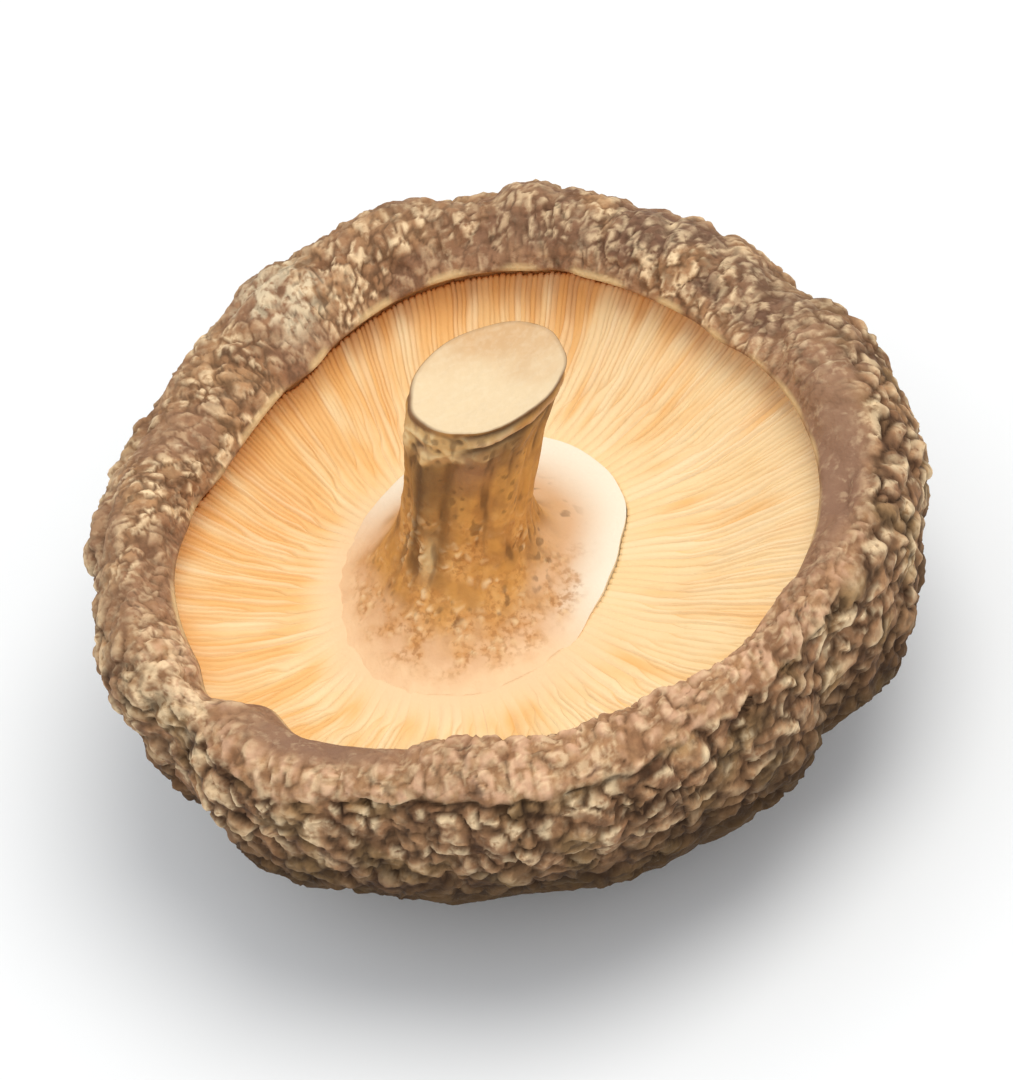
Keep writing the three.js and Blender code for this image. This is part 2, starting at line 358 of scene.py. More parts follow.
def skinDetail(place, angle, t):
    # the relief is a sum of kinds of skin, each times its own share: pebbles on the flank, small flakes
    # and crumples over the roll, creases across it near the lip with a cracked ledge below them in front,
    # more gashes where the rim is dusky, and under the cap broad plates between cracks. The numbers
    # colour the same features, and add pale flecks where the rim is dusky. Painted shade darkens the
    # hollows of the crumple, the crease valleys, the gaps between flakes and the slopes into the cracks
    c = cap
    crown = 1 - smooth(0.35, 0.6, t)
    coarse = smooth(0.25, 0.7, facing(angle, c["coarseBearing"]))
    nearest = smooth(0.62, 0.9, facing(angle, c["creasedBearing"]))
    worn = smooth(1.42, 1.68, t) * np.clip(sum(hump(angle, *lip) for lip in c["smoothLips"]), 0, 1)
    jag = 0.07 * noise(place, 2.2, 99)
    creased = smooth(1.42 - 0.24 * nearest, 1.66 - 0.38 * nearest, t - jag)
    ledge = nearest * bell(t - jag, c["ledgeAt"], c["ledgeWidth"])
    ledge = ledge * smooth(-0.2, 0.1, noise(place, 3.4, 103))
    rough = smooth(0.5, 0.8, t) * (1 - creased) * lerp(1 - 0.75 * smooth(1.1, 1.35, t), 1, coarse)
    patch = smooth(0.0, 0.35, noise(place, 6.5, 301)) * smooth(1.0, 1.3, t) * (1 - 0.7 * coarse)
    dusky = hump(angle, *c["duskyRim"]) * smooth(1.22, 1.42, t) * (1 - smooth(1.8, 1.92, t))
    patch = np.maximum.reduce([patch, worn, dusky * smooth(-0.4, 0.15, noise(place, 3.2, 303))])
    ragged = 0.5 * noise(place, 1.4, 93)
    fold = smooth(0.25, 0.6, hump(angle, *c["rubbedFold"]) + ragged)
    fold = fold * smooth(1.05, 1.25, t) * (1 - smooth(1.7, 1.9, t))
    bleach = smooth(0.2, 0.9, hump(angle, *c["bleachedPatch"]) + ragged)
    bleach = bleach * smooth(1.2, 1.4, t) * (1 - smooth(1.75, 1.92, t))
    small = smooth(0.75, 1.0, t) * (1 - rough) * (1 - 0.5 * creased * coarse)
    small = small * (1 - 0.4 * patch) * (1 - worn)

    pebble, tone, curl, top, crackAndSlopeShade = pebbles(place, coarse)
    crumple = noise(warped(place, 1.1, 0.3, 41), c["crumpleSize"], 51) + 0.6 * noise(place, 0.5, 53)
    onRing = warped(atAngle(angle, c["patternRadius"], t * 7.5), 1.1, 0.45, 61)
    flakeGap, flakeTone, flakeLean = cells(onRing, c["flakeSize"], 65)
    flake = smooth(0.08, 0.2, flakeGap) * (1 - smooth(0.35, 0.6, flakeGap)) * smooth(-0.12, 0.06, flakeLean)
    flake = flake * smooth(-0.7, -0.1, noise(place, 2.2, 67))
    onDrum = warped(atAngle(angle, c["patternRadius"], t * 4.2), 1.3, 0.45, 83)
    crease = np.abs(noise(onDrum, c["creaseSize"], 81))
    column = smooth(0, 0.4, crease) * (1 - 0.8 * worn)
    gash = smooth(0.86, 0.97, 1 - 2.4 * np.abs(noise(onRing, 2.4, 85)))
    gash = gash * smooth(0.2, 0.45, noise(place, 3.0, 89) + 0.35 * dusky) * (1 - worn) * (1 - rough)
    plateGap = cells(warped(place, 4.0, 1.6, 91), c["plateSize"], 101)[0]
    plateCrack = (1 - smooth(0.0, 0.09, plateGap)) * crown

    relief = rough * pebble + c["crumpleDepth"] * crumple * (0.5 + 0.5 * rough) * (1 - 0.4 * patch)
    relief = relief + small * c["flakeHeight"] * (smooth(0.0, 0.25, flakeGap) + 1.6 * flakeLean)
    relief = relief + c["creaseDepth"] * column * creased - c["ledgeDepth"] * ledge - c["sunk"]
    relief = relief - c["plateCrackDepth"] * plateCrack - c["gashDepth"] * gash * smooth(1.0, 1.1, t)

    top = 0.75 * top * smooth(-0.5, 0.1, crumple)
    pale = np.maximum(np.maximum(curl, top) * rough * smooth(0.78, 0.98, t), flake * small)
    pale = np.maximum(pale, 0.5 * small * smooth(0.75, 0.9, flakeTone) * smooth(0.15, 0.4, flakeGap))
    fleck = dusky * smooth(0.22, 0.4, noise(warped(place, 0.8, 0.4, 305), 0.9, 307))
    fleck = fleck * smooth(-0.15, 0.3, crumple) * smooth(-0.2, 0.25, noise(place, 2.4, 309))
    pale = np.maximum(pale * (1 - 0.5 * patch * (1 - dusky)), 0.9 * fleck)
    pale = pale * (1 - crown) + 0.8 * plateCrack
    pale = np.maximum(pale, 0.8 * fold * smooth(-0.4, 0.2, crumple))
    # painted shade in the low places of the crumple
    hollowShade = 0.5 * smooth(0.2, 0.6, -crumple) * (0.4 + 0.6 * np.maximum(rough, dusky))
    hollowShade = hollowShade * (1 - patch * (1 - 0.8 * dusky))
    # painted shade in the gaps between the flakes
    flakeGapShade = 0.6 * small * (1 - smooth(0.02, 0.14, flakeGap))
    dark = np.maximum.reduce([crackAndSlopeShade * rough, hollowShade, flakeGapShade]) * (1 - 0.6 * creased * coarse) * (1 - worn)
    # painted shade along the bottoms of the crease valleys
    valleyShade = 0.55 * (1 - smooth(0.0, 0.12, crease)) * creased * (1 - worn)
    valleyShade = valleyShade * smooth(-0.3, 0.3, noise(place, 2.0, 105))
    dark = np.maximum.reduce([dark, valleyShade, 0.9 * ledge]) * (1 - crown)
    return relief, {
        # crack: dark cracks, gashes and the cracked ledge, with painted shade in hollows, valleys and flake
        # gaps and on the slopes into the cracks
        "crack": np.clip(np.maximum(dark, 0.7 * gash * smooth(1.0, 1.2, t)), 0, 1),
        "pale": np.clip(pale, 0, 1),
        "rose": creased * coarse * column * smooth(-0.35, 0.25, crumple) * (1 - worn),
        "bleach": bleach * smooth(-0.5, 0.1, crumple),
        "tone": tone,
        "patch": patch,
        "dusky": dusky * patch * (1 - worn),
        "mauve": worn,
        "crown": crown,
        # painted shade: the skin darker towards the bottom of the cap, for the shade beneath it
        "low": 1 - smooth(0.72, 0.97, t + 0.04 * noise(place, 2.6, 107)),
        "olive": smooth(0.0, 0.5, noise(place, 3.4, 97)) * rough,
        "lip": smooth(1.985 - 0.03 * wornAt(angle), 2.0, t) * wornAt(angle),
    }


def skinRows(count, t):
    # the form with its detail, and nothing below the surface it rests on
    angle, t = np.meshgrid(ringAngles(count), t)
    place = skinForm(angle, t)
    relief, numbers = skinDetail(place, angle, t)
    calm = (1 - smooth(1.9, 1.99, t)) * smooth(0.16, 0.3, t)
    place = place + outward(skinForm, angle, t) * (relief * calm)[..., None]
    place[..., 2] = np.maximum(place[..., 2], 0)
    return place, numbers


def makeCapSkin():
    # rings from the pole it lies on, over the skin and the lip, and back inside under the gills
    c = cap
    count = c["rimColumns"]
    dome, side, rim = (np.linspace(*c[key]) for key in ("domeRows", "sideRows", "rimRows"))
    rings = Rings("crack", "pale", "rose", "bleach", "olive", "tone", "patch", "dusky", "mauve", "crown",
                  "low", "lip", "wall")
    for share, points in ((0, 1), (0.4, count // 8), (0.8, count // 4)):
        rings.add(atAngle(ringAngles(points), c["innerReach"] * share, 0.0), crown=1.0, tone=0.5)
    for columns, t in ((count // 2, dome), (count, np.concatenate([side, rim]))):
        grid, numbers = skinRows(columns, t)
        rings.addRows(grid, **numbers)
    angle = ringAngles(count)
    radius, height = capProfile(angle, 2 + 0 * angle)
    under = radius + c["lipUndercut"]
    rings.add(atAngle(angle, radius - 0.12, height - 0.2), lip=wornAt(angle))
    # wall: the lip's inner wall, painted the warm orange-brown of the shade under the lip
    rings.add(atAngle(angle, radius + 0.05, height - c["lipThickness"]), lip=0.3 * wornAt(angle), wall=0.5)
    rings.add(atAngle(angle, radius + 0.8, height - 1.0), wall=1.0)
    rings.add(atAngle(angle, under + 0.4, height - c["grooveDrop"]), wall=1.0)
    rings.add(atAngle(angle, under - 1, height - c["grooveDrop"] - 2.2), wall=1.0)
    for divide, share in ((2, 0.8), (4, 0.5), (8, 0.2)):
        angle = ringAngles(count // divide)
        radius, height = capProfile(angle, 2 + 0 * angle)
        rings.add(atAngle(angle, radius * share, c["hiddenTop"] - 2 * (1 - share)))
    rings.add(atAngle(np.zeros(1), 0.0, c["hiddenTop"] - 2))
    return meshThrough("cap_skin", rings)


gills = {
    "periods": 112,  # each holds a long, a short and a middling gill
    "starts": (0.0, 0.55, 0.28),  # share of the way out where each kind begins
    "startSpread": 0.14,
    "widths": (0.62, 1.38),
    "fullHeights": (0.65, 1.0),
    "columnPlaces": (0.0, 0.2, 0.42, 0.64, 0.84),  # across one gill and its gap
    "columnHeights": (0.0, 0.85, 1.0, 1.0, 0.85),
    "rows": 57,
    "depth": 0.29,
    "depthAtCollar": 0.1,
    "crestJitter": 0.11,
    "crinkle": 0.09,
    "swell": 0.35,
    "sway": 0.3,
    "sag": 2.1,
    "collarDrop": 4.3,
    "faintFront": 262,  # bearings where the gills are shallow
    "faintBack": 80,
    "palestBearing": -20,  # opposite the most golden gills; the gold is partly their own and partly painted shade
    "lipShadeBearing": 125,  # middle of the gills painted brown with the shade under the lip
    # middle of the gill tips painted dark with the shade of the groove under the lip
    "stainBearing": 62,
    "seed": 4,
}

collar = {
    "centre": np.array([-2.5, 0.7, 0.0]),
    "radius": 10.2,
    "stretch": 1.1,
    "stretchAlong": math.radians(58),
    "edge": 0.35,
    "proudBearing": 40,  # where its edge stands highest
}


def grooveAt(angle):
    # the lip moved outward under itself and down
    radius, height = capProfile(angle, 2 + 0 * angle)
    return atAngle(angle, radius + cap["lipUndercut"], height - cap["grooveDrop"])


def collarAt(angle):
    # an oval about the collar's centre, a little uneven, at the height of the gill crests
    reach = collar["radius"] + collar["stretch"] * np.cos(2 * (angle - collar["stretchAlong"]))
    reach = reach + 0.2 * np.sin(3 * angle + 1) + 0.3 * noise(atAngle(angle, 10.0, 0.0), 3.2, 391)
    return collar["centre"] + atAngle(angle, reach, cap["girthHeight"] - gills["collarDrop"])


def collarProud(angle):
    # 1 where the collar's edge stands up, falling to 0 opposite, where it melts into the gills
    return smooth(0.225, 0.675, facing(angle, collar["proudBearing"]))


def collarRim(angle, share, drop):
    # the collar's edge scaled about its centre: raised where it stands proud, let in where it melts away
    rim = collarAt(angle)
    proud = collarProud(angle)
    ragged = 0.12 * noise(rim, 0.9, 397)
    scale = (share * lerp(1.04, 1, proud))[..., None] * [1, 1, 0] + [0, 0, 1]
    rim = collar["centre"] + (rim - collar["centre"]) * scale
    rim[..., 2] += lerp(ragged - 0.14, collar["edge"], proud) - drop
    return rim


def gillFace(angle, share):
    # straight from collar to groove seen from above, rising late, with a low swell between
    inner, outer = collarAt(angle), grooveAt(angle)
    share = np.clip(share, 0, 1.02)
    inside = np.clip(share, 0, 1)
    place = lerp(inner, outer, share[..., None])
    place[..., 2] = lerp(inner[..., 2], outer[..., 2], inside ** gills["sag"])
    place[..., 2] += gills["swell"] * waves(place, 17, 8, 3.7) * np.sin(math.pi * inside)
    return place


def makeGills():
    # each period shares its angle among its gills by weight, and a gill's weight grows from where it
    # starts; a crest stands at the face and a gap lies a depth below it
    g = gills
    rng = np.random.default_rng(g["seed"])
    each = (g["periods"], len(g["starts"]))
    places = np.array(g["columnPlaces"])
    shape = (g["rows"], *each, len(places))
    shares = np.linspace(1.02, 0.0, g["rows"])[:, None, None]
    starts = np.array(g["starts"]) + rng.uniform(-1, 1, each) * g["startSpread"]
    starts[:, 0] = -1
    widths = rng.uniform(*g["widths"], each)
    grown = smooth(starts, starts + 0.12, shares)
    weight = widths * (0.02 + 0.98 * grown)
    weight = weight / weight.sum(-1, keepdims=True)
    low = np.cumsum(weight, -1) - weight
    full = rng.uniform(*g["fullHeights"], each)
    height = np.array(g["columnHeights"]) * (0.05 + 0.95 * grown * full)[..., None]
    period = np.arange(g["periods"])[:, None, None]
    angle = (period + low[..., None] + weight[..., None] * places) / g["periods"] * turn
    level, gapTone = (np.broadcast_to(rng.uniform(-1, 1, each)[None, :, :, None], shape) for _ in (0, 1))
    flat = (part.reshape(g["rows"], -1) for part in (angle, height, level, gapTone))
    angle, height, level, gapTone = flat
    share = np.broadcast_to(shares[:, :, 0], angle.shape)

    place = gillFace(angle, share)
    reach = np.hypot(place[..., 0], place[..., 1]) + 6
    sway = noise(place, 4.5, 401) + 0.4 * noise(place, 1.8, 411) * share
    angle = angle + g["sway"] * sway / reach * smooth(0, 0.25, share)
    place = gillFace(angle, share)
    faint = 1 - 0.5 * smooth(0.6, 0.95, facing(angle, g["faintFront"]))
    faint = faint - 0.35 * smooth(0.65, 0.95, facing(angle, g["faintBack"]))
    depth = lerp(g["depthAtCollar"] * collarProud(angle), g["depth"] * faint, smooth(0.0, 0.5, share))
    along = np.stack([level * 40, share * 14, level * 17], -1)
    crinkle = g["crinkle"] * noise(along, 1.4, 421) * smooth(0, 0.5, share)
    crest = g["crestJitter"] * level * smooth(0, 0.3, share) + crinkle
    place[..., 2] += height * crest - (1 - height) * depth

    streaks = noise(atAngle(angle, 20.0, share * 3.0), 1.6, 431)
    streaks = streaks + 0.6 * noise(atAngle(angle, 20.0, share * 2.0), 0.7, 435)
    bare = 1 - smooth(0.1, 0.9, height)
    rimward = share + 0.08 * streaks
    # their own golden streaks, plus painted shade: more gold on the side away from the palest bearing
    goldWithSideShade = 0.42 + 0.9 * streaks - 0.4 * np.cos(angle - math.radians(g["palestBearing"]))
    stained = smooth(0.55, 0.9, facing(angle, g["stainBearing"]))
    rings = Rings("gap", "level", "gold", "under", "bloom", "stain")
    rings.addRows(
        place,
        # gap: painted shade down between the gills
        gap=bare * (0.45 + 0.55 * gapTone) * smooth(0.0, 0.3, share),
        level=level,
        gold=np.clip(goldWithSideShade, 0, 1) * smooth(0.05, 0.3, share),
        # under: painted shade on the gills beneath the lip
        under=smooth(0.8, 1.0, rimward) * smooth(0.2, 0.7, facing(angle, g["lipShadeBearing"])),
        bloom=(1 - smooth(0.0, 0.34, share + 0.05 * streaks)) * (1 - collarProud(angle)),
        # painted shade on some gill tips by the rim, seen against the shaded groove
        stain=smooth(0.1, 0.5, level) * smooth(0.84, 0.95, rimward) * stained,
    )
    rings.add(place[-1] - [0, 0, 2.0], bloom=1 - collarProud(angle[-1]))
    rings.add(place[0] - [0, 0, 2.5], gap=1.0)
    return meshThrough("gills", rings, loops=True)


stem = {
    "foot": np.array([-3.4, 0.2, 15.1]),
    "tip": np.array([1.2, 0.6, 32.1]),
    "footPull": np.array([0.6, 0.2, 6]),
    "tipPull": np.array([-2.2, 0, -6]),
    "neckRadius": 3.95,
    "tipRadius": 5.05,
    "flareHeight": 0.105,
    "cutNormal": np.array([-0.16, 0.15, 0.97]) / np.linalg.norm([-0.16, 0.15, 0.97]),
    "cutDish": 0.5,
    "fibreDepth": 0.12,
    "wartSize": 0.7,
    "wartHeight": 0.2,
    "tearSize": 1.7,
    "tearDepth": 0.15,
    "stripHeight": 0.12,
    "grooveDepth": 0.24,
    "scurfBearing": 250,
    "tornBearing": 228,
    "peeledBearing": 298,
    "darkBand": (214, 24),  # bearing and half width of each marking
    "furrows": [(207, 5), (234, 4.5)],
    "paleStreak": (224, 5),
    "paleStreakHeight": (20.6, 1.3),  # middle and width, in height above the floor
    "bruise": (254, 17),
    "bruiseBelow": (4.1, 1.5),  # distance below the cut and width of each mark
    "stripBelow": (1.05, 0.24),
    "nickBelow": (0.35, 0.3),
    "grooveBelow": (1.75, 0.45),
    "climbBearing": 5,  # where the collar's pale skin climbs highest
    "blushWay": np.array([0.5, 0.85, 0]),  # the way the cut grows darker
    "edgeTurns": [(185, 30), (300, 34)],
    "columns": 320,
    "rows": 190,
    "cutRows": 24,
    "cutHalvings": (8, 15, 20),  # rows of the cut at which every second point is left out
}


def stemLine(t):
    # cubic Bezier from foot to tip, and its unit direction
    foot, tip = stem["foot"], stem["tip"]
    p = [foot, foot + stem["footPull"], tip + stem["tipPull"], tip]
    t = t[..., None]
    place = (1 - t) ** 3 * p[0] + 3 * (1 - t) ** 2 * t * p[1] + 3 * (1 - t) * t ** 2 * p[2] + t ** 3 * p[3]
    way = (1 - t) ** 2 * (p[1] - p[0]) + 2 * (1 - t) * t * (p[2] - p[1]) + t ** 2 * (p[3] - p[2])
    return place, way / np.linalg.norm(way, axis=-1, keepdims=True)


def stemSide(angle, t):
    # an oval ribbed ring square to the line, its sides run on or cut short to end in the cut's plane
    centre, axis = stemLine(np.clip(t, 0, 1))
    across = np.array([1.0, 0, 0]) - axis * axis[..., :1]
    across = across / np.linalg.norm(across, axis=-1, keepdims=True)
    beside = np.cross(axis, across)
    oval = 1 + lerp(0.04 * np.cos(2 * angle + 0.6), -0.06 * np.cos(2 * angle), smooth(0.6, 1, t))
    ribs = 0.15 * np.sin(5 * angle + 4 * t) + 0.1 * np.sin(9 * angle - 3 * t + 1)
    ribs = ribs * (1 - 0.7 * smooth(0.75, 1, t))
    widens = lerp(smooth(0.4, 1, t), smooth(0.7, 1, t), 0.5 + 0.5 * np.cos(angle + 0.3))
    radius = lerp(stem["neckRadius"], stem["tipRadius"], widens) * oval + ribs
    place = centre + across * (radius * np.cos(angle))[..., None]
    place = place + beside * (radius * np.sin(angle))[..., None]
    short = ((stem["tip"] - place) @ stem["cutNormal"]) / (axis @ stem["cutNormal"])
    slant = np.linalg.norm(stem["tip"] - stem["foot"]) * (1 - t)
    return place + axis * ((short - slant) * smooth(0.35, 1, t))[..., None]


def stemForm(angle, t):
    # the side, carried out to the collar's edge at t = 0 by an exponential flare
    flare = collarRim(angle, 1.0 + 0 * angle, 0) - stemSide(angle, 0 * t)
    return stemSide(angle, t) + flare * np.exp(-t / stem["flareHeight"])[..., None]


def barkEdge(angle):
    # how dark the skin's edge shows round the cut: most at the left and the front right, little at the back
    return np.clip(0.25 + sum(hump(angle, *part) for part in stem["edgeTurns"]), 0, 1)


def stemDetail(place, angle, t):
    # fibres are noise drawn out along the stem; scurf is fine warts near the foot; below the cut the skin
    # is crumpled into ridges, 1 less the size of a noise, at the left, and peeled into a strip at the right
    s = stem
    fromCut = (s["tip"] - place) @ s["cutNormal"]
    ragged = 0.8 * noise(place, 1.3, 547)
    shaft = smooth(0.1, 0.26, t)
    drawn = np.stack([np.cos(angle) * 4.5, np.sin(angle) * 4.5, t * 5.0], -1)
    fibre = noise(warped(drawn, 2.0, 0.4, 505), 1.0, 501) + 0.6 * noise(drawn, 0.45, 511)
    gap, tone, _ = cells(warped(place, 0.9, 0.4, 531), s["wartSize"], 541)
    scurf = smooth(0.01, 0.05, t) * (1 - smooth(0.25, 0.6, t))
    scurf = scurf * smooth(0.3, 0.8, facing(angle, s["scurfBearing"]))
    scurf = scurf * smooth(-0.55, 0.35, noise(warped(place, 1.0, 0.4, 549), 1.5, 545))
    wart = smooth(0.1, 0.6, gap) * smooth(0.3, 0.8, tone)
    speck = smooth(0.25, 0.45, noise(place, 0.6, 571)) * smooth(-0.1, 0.3, noise(place, 2.2, 575))

    torn = smooth(0.1, 0.5, fromCut) * (1 - smooth(1.9, 3.5, fromCut + ragged))
    torn = torn * smooth(0.72, 0.93, facing(angle, s["tornBearing"]))
    ridge = 1 - 2.6 * np.abs(noise(warped(place, 1.5, 0.7, 551), s["tearSize"], 555))
    ridge = ridge + 0.5 * noise(place, 0.55, 561)
    peeled = smooth(0.7, 0.86, facing(angle, s["peeledBearing"]))
    uneven = fromCut + 0.3 * ragged
    strip = peeled * bell(uneven, *s["stripBelow"]) * smooth(-0.6, 0.3, noise(place, 1.8, 549))
    groove = bell(fromCut, *s["nickBelow"]) + 1.2 * bell(uneven, *s["grooveBelow"])
    groove = peeled * np.minimum(groove, 1)
    relief = s["fibreDepth"] * fibre * shaft * (1 - torn) + s["wartHeight"] * wart * scurf
    relief = relief + s["tearDepth"] * torn * ridge + s["stripHeight"] * strip - s["grooveDepth"] * groove
    relief = relief * (1 - smooth(0.97, 1, t)) * smooth(0, 0.03, t)

    band = hump(angle, *s["darkBand"]) * smooth(0.14, 0.3, t) * smooth(2.4, 3.2, fromCut + ragged)
    streak = hump(angle, *s["paleStreak"]) * bell(place[..., 2], *s["paleStreakHeight"])
    furrow = sum(hump(angle, *part) for part in s["furrows"]) * band
    # painted shade under the peeled strip at the right
    shadeUnderStrip = peeled * smooth(1.5, 1.9, fromCut) * (1 - smooth(2.6, 6.5, fromCut + ragged))
    shadeUnderStrip = shadeUnderStrip * smooth(-1.0, 0.1, noise(drawn, 1.4, 567))
    bruise = hump(angle, *s["bruise"]) * bell(fromCut, *s["bruiseBelow"])
    bruise = bruise + 0.6 * torn * smooth(0.0, 0.4, noise(place, 1.9, 565))
    # painted shade on the low sides of the fibres, in the grooves by the strip and in the hollows of the
    # torn ridges; the specks and furrow streaks are dark marks of the stem's own
    shadeSpecksAndFurrows = [0.6 * smooth(0.3, 0.8, -fibre) * shaft, groove, 0.5 * speck * smooth(0.04, 0.12, t),
             0.85 * torn * smooth(0.0, 0.7, -ridge), 0.75 * furrow]
    climb = smooth(0.5, 0.9, facing(angle, s["climbBearing"]))
    return relief, {
        "collar": 1 - smooth(0.03, 0.13, t * (1 - 0.55 * climb) + 0.04 * noise(place, 2.0, 577)),
        "border": (1 - smooth(0.0, 0.06, t + 0.02 * noise(place, 1.4, 579))) * (1 - collarProud(angle)),
        "fibre": smooth(-0.5, 0.6, fibre),
        "wart": wart * scurf,
        "scurf": np.clip(scurf, 0, 1),
        "torn": torn,
        "fold": torn * smooth(0.1, 1.0, ridge),
        "bark": np.clip(strip, 0, 1),
        # band: the dark marking on the left, and painted shade under the peeled strip
        "band": np.clip(np.maximum(band - streak, shadeUnderStrip), 0, 1),
        "bleached": np.clip(streak * 1.3, 0, 1),
        "bruise": np.clip(bruise, 0, 1),
        "dark": np.clip(np.maximum.reduce(shadeSpecksAndFurrows), 0, 1),
        "pale": collarProud(angle) * (1 - smooth(0.0, 0.1, t)),
        "edge": smooth(0.968, 0.986, t) * barkEdge(angle),
    }


def makeStem():
    # rings from under the collar's middle, out and up round its edge, along the stem and in over the
    # dished cut
    s = stem
    count = s["columns"]
    rings = Rings("collar", "border", "fibre", "wart", "scurf", "torn", "fold", "bark", "band", "bleached",
                  "bruise", "dark", "pale", "cut", "blush", "edge")
    rings.add((collar["centre"] + [0, 0, 12.6])[None])
    for divide, share in ((4, 0.4), (2, 0.8), (1, 0.97)):
        angle = ringAngles(count // divide)
        rings.add(collarRim(angle, share + 0 * angle, 2.4))
    proud = collarProud(angle)
    for drop, share in ((1.4, 0.985), (0.16, 0.996), (0.04, 1.0)):
        rings.add(collarRim(angle, share + 0 * angle, drop), collar=1.0, pale=proud, border=1 - proud)
    grid, t = np.meshgrid(angle, np.linspace(0, 1, s["rows"]) ** 1.5)
    place = stemForm(grid, t)
    relief, numbers = stemDetail(place, grid, t)
    place = place + outward(stemForm, grid, np.minimum(t, 0.995)) * relief[..., None]
    rings.addRows(place, **numbers)
    columns = count
    for k, share in enumerate(np.linspace(0.985, 0.06, s["cutRows"])):
        if k in s["cutHalvings"]:
            columns //= 2
        spoke = (place[-1][:: count // columns] - s["tip"]) * share
        blush = spoke @ s["blushWay"]
        spoke = s["tip"] + spoke - s["cutNormal"] * s["cutDish"] * (1 - share ** 2)
        blush = smooth(-1.5, 5.5, blush + 1.8 * noise(spoke, 2.5, 591))
        bumps = 0.07 * noise(spoke, 1.6, 571) + 0.03 * noise(spoke, 0.5, 581)
        edge = smooth(0.94, 0.985, share) * barkEdge(angle[:: count // columns])
        rings.add(spoke + s["cutNormal"] * bumps[:, None], cut=1.0, blush=blush, edge=edge)
    rings.add((s["tip"] - s["cutNormal"] * s["cutDish"])[None], cut=1.0)
    return meshThrough("stem_and_collar", rings)


def linear(colour):
    # sRGB hex to linear: ((c + 0.055) / 1.055) to the power 2.4, or c / 12.92 in the darkest part
    parts = [int(colour[k:k + 2], 16) / 255 for k in (1, 3, 5)]
    return [c / 12.92 if c <= 0.04045 else ((c + 0.055) / 1.055) ** 2.4 for c in parts] + [1.0]


def addNode(tree, kind, inputs=None, output=0, **settings):
    # a node with its settings, its input values or links, and one of its outputs given back
    made = tree.nodes.new(kind)
    for key, value in settings.items():
        setattr(made, key, value)
    for key, value in (inputs or {}).items():
        if isinstance(value, bpy.types.NodeSocket):
            tree.links.new(value, made.inputs[key])
        else:
            made.inputs[key].default_value = value
    return made.outputs[output] if made.outputs else made


def newMaterial(name, base, layers, roughness, specular, bumps):
    # colours laid over each other, each by its own share; roughness from a noise; bumps added into one
    # height. A Mix node takes its share at 0 and its two colours at 6 and 7, and gives its colour at 2
    material = bpy.data.materials.new(name)
    material.use_nodes = True
    tree = material.node_tree
    tree.nodes.clear()
    place = addNode(tree, "ShaderNodeTexCoord", output="Object")

    def read(source):
        # a number on the mesh by name, or a noise with features of a size in mm spread between two limits
        if isinstance(source, str):
            return addNode(tree, "ShaderNodeAttribute", output="Fac", attribute_name=source)
        size, low, high = source
        scale = 1 / (size * millimetre)
        grain = addNode(tree, "ShaderNodeTexNoise", {"Vector": place, "Scale": scale, "Detail": 4.0})
        return addNode(tree, "ShaderNodeMapRange", {0: grain, 1: low, 2: high})

    colour = linear(base)
    for sources, strength, hexColour in layers:
        share = strength
        for source in sources:
            both = {0: read(source), 1: share}
            share = addNode(tree, "ShaderNodeMath", both, operation="MULTIPLY", use_clamp=True)
        mixed = {0: share, 6: colour, 7: linear(hexColour)}
        colour = addNode(tree, "ShaderNodeMix", mixed, 2, data_type="RGBA")
    size, smoothest, roughest = roughness
    spread = {0: read((size, 0.35, 0.65)), 3: smoothest, 4: roughest}
    rough = addNode(tree, "ShaderNodeMapRange", spread)
    height = 0.0
    for size, depth in bumps:
        added = {0: read((size, 0.0, 1.0)), 1: depth * millimetre, 2: height}
        height = addNode(tree, "ShaderNodeMath", added, operation="MULTIPLY_ADD")
    bump = addNode(tree, "ShaderNodeBump", {"Height": height, "Distance": 1.0, "Strength": 1.0})
    shader = addNode(tree, "ShaderNodeBsdfPrincipled", {
        "Base Color": colour, "Roughness": rough, "Specular IOR Level": specular, "Normal": bump})
    addNode(tree, "ShaderNodeOutputMaterial", {"Surface": shader})
    return material


# Each layer is the numbers or noises (size in mm, low, high) that its share is the product of, its strength
# and its colour. After the layers come the roughness (size in mm, lowest, highest), the specular level
# and the bumps (size and depth in mm). The finest real grain, cells of about 0.01 mm, can't show, so it
# is drawn 0.2 to 0.5 mm wide.

# Skin dried on the cap: matt brown, cream where ridges are rubbed, near black down in the cracks, with
# painted shade in the hollows and towards the bottom
def driedCapSkin():
    return newMaterial("dried_cap_skin", "#9f7452", [
        (((2.2, 0.42, 0.6),), 0.6, "#c1946a"),
        (((0.8, 0.42, 0.6),), 0.5, "#704d35"),
        (("tone", (4.0, 0.4, 0.6)), 0.45, "#c59d71"),
        (("olive",), 0.45, "#9b8152"),
        (("rose",), 0.85, "#dcb08e"),
        (("patch",), 0.5, "#8b6751"),
        (("dusky",), 0.6, "#5f463b"),
        (("mauve",), 0.75, "#8c6c58"),
        (("crown", (6.0, 0.35, 0.6)), 0.8, "#66442b"),
        (((0.6, 0.5, 0.65), (1.8, 0.42, 0.55)), 0.3, "#e0c39d"),
        (("pale", (0.5, 0.3, 0.5)), 0.9, "#f7dbb0"),
        (("bleach", (0.5, 0.3, 0.5)), 0.75, "#efdcb8"),
        # painted shade towards the bottom of the cap
        (("low",), 0.9, "#44321a"),
        # dark cracks, with painted shade in the hollows, valleys and flake gaps
        (("crack",), 0.94, "#26150a"),
        # painted shade: the warm orange-brown of the shade under the lip, on its inner wall
        (("wall",), 0.9, "#b9824a"),
        (("lip",), 0.8, "#e3c592"),
    ], (0.9, 0.66, 0.84), 0.15, [(0.5, 0.12), (0.22, 0.06)])


